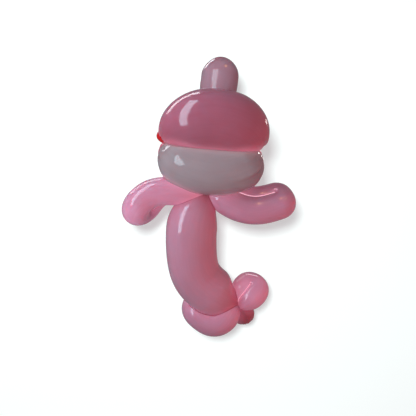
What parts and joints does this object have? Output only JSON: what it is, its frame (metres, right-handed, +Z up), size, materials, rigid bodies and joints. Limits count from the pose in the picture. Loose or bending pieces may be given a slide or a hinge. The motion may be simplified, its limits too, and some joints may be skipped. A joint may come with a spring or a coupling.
{
  "type": "balloon shark",
  "caption": "Shark twisted from long modelling balloons, lying down: round head with a white lower jaw, folded side fins, curved body and lobed tail.",
  "frame": {"origin": "on the ground that the shark lies on, under the middle of its bounding box", "axes": "+Y from the tail towards the nose, +X to the right seen from above with the nose away from the viewer, +Z up from the ground"},
  "size_m": [0.2544, 0.417, 0.1548],
  "materials": {
    "pink_latex": "glossy inflated latex, slightly translucent",
    "pale_pink_latex": "glossy inflated latex, more stretched and paler",
    "white_latex": "glossy inflated white latex",
    "red_latex": "glossy inflated red latex"
  },
  "bodies": {
    "root": {"head_balloon": "pink_latex", "jaw_balloon": "white_latex", "body_balloon": "pink_latex", "fin_balloon": "pink_latex", "tail_balloon": "pink_latex", "nose_balloon": "pale_pink_latex", "tongue_balloon": "red_latex"}
  },
  "joints": []
}
